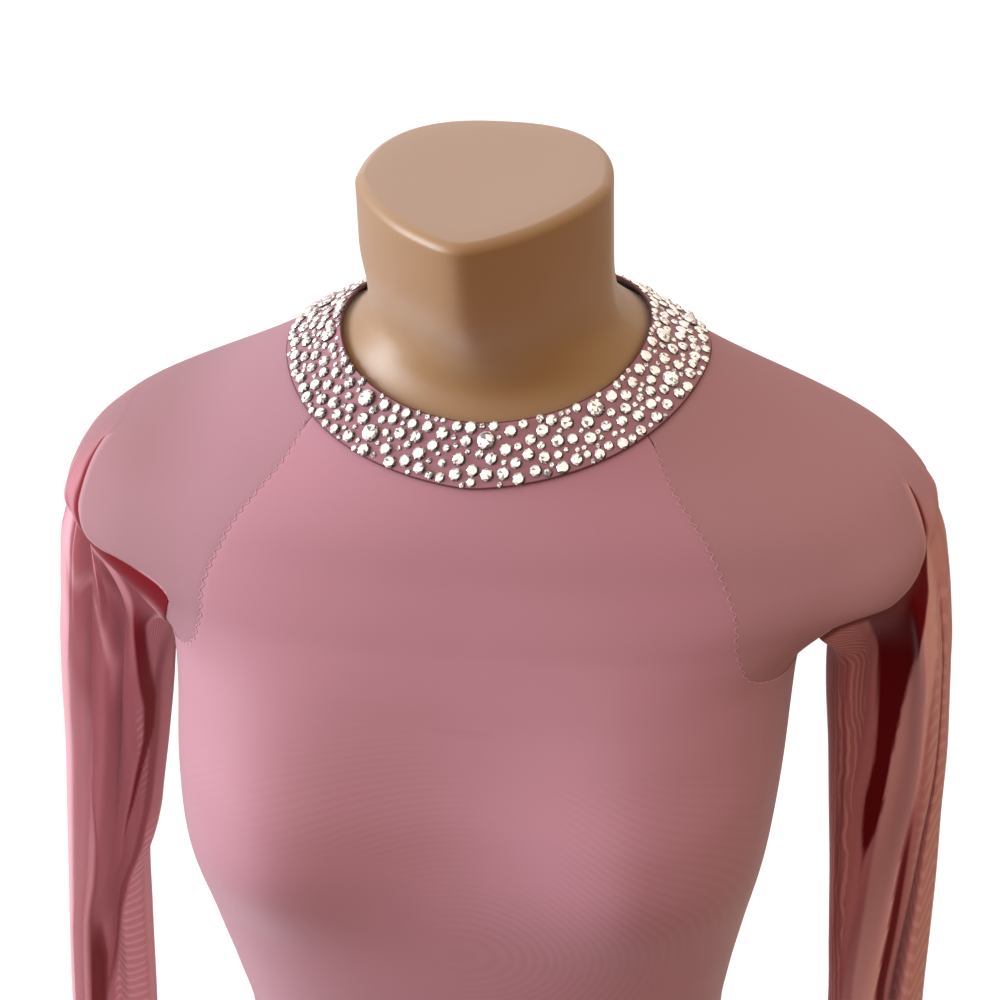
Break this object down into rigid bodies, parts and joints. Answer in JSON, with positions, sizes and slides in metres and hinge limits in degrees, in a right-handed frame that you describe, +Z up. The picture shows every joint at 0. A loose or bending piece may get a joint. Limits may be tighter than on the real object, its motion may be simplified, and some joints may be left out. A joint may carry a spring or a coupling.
{
  "type": "figure skating dress on a limbless torso dress form",
  "caption": "Long-sleeved skating dress with a lined front, sheer raglan sleeves, a stoned neckband, a short flared skirt and briefs, worn by a limbless torso form.",
  "frame": {"origin": "middle of the bounding box's base, on the plane that the form stands on", "axes": "+Z up from the thigh ends to the neck, -Y towards the chest, +X towards the wearer's left hand"},
  "size_m": [0.4944, 0.3692, 0.873],
  "materials": {
    "moulded_form": "satin",
    "lined_stretch": "matte",
    "sheer_mesh": "matte",
    "band_cloth": "matte",
    "button_shell": "gloss",
    "skirt_mesh": "matte",
    "brief_cloth": "matte"
  },
  "bodies": {
    "root": {"form": "moulded_form", "bodice_front": "lined_stretch", "bodice_back_left": "lined_stretch", "bodice_back_right": "lined_stretch", "sleeve_right": "sheer_mesh", "sleeve_left": "sheer_mesh", "neckband": "band_cloth", "neck_button_upper": "button_shell", "neck_button_lower": "button_shell", "skirt_front": "skirt_mesh", "skirt_back": "skirt_mesh", "brief_front": "brief_cloth", "brief_back": "brief_cloth", "gusset": "brief_cloth"}
  },
  "joints": []
}
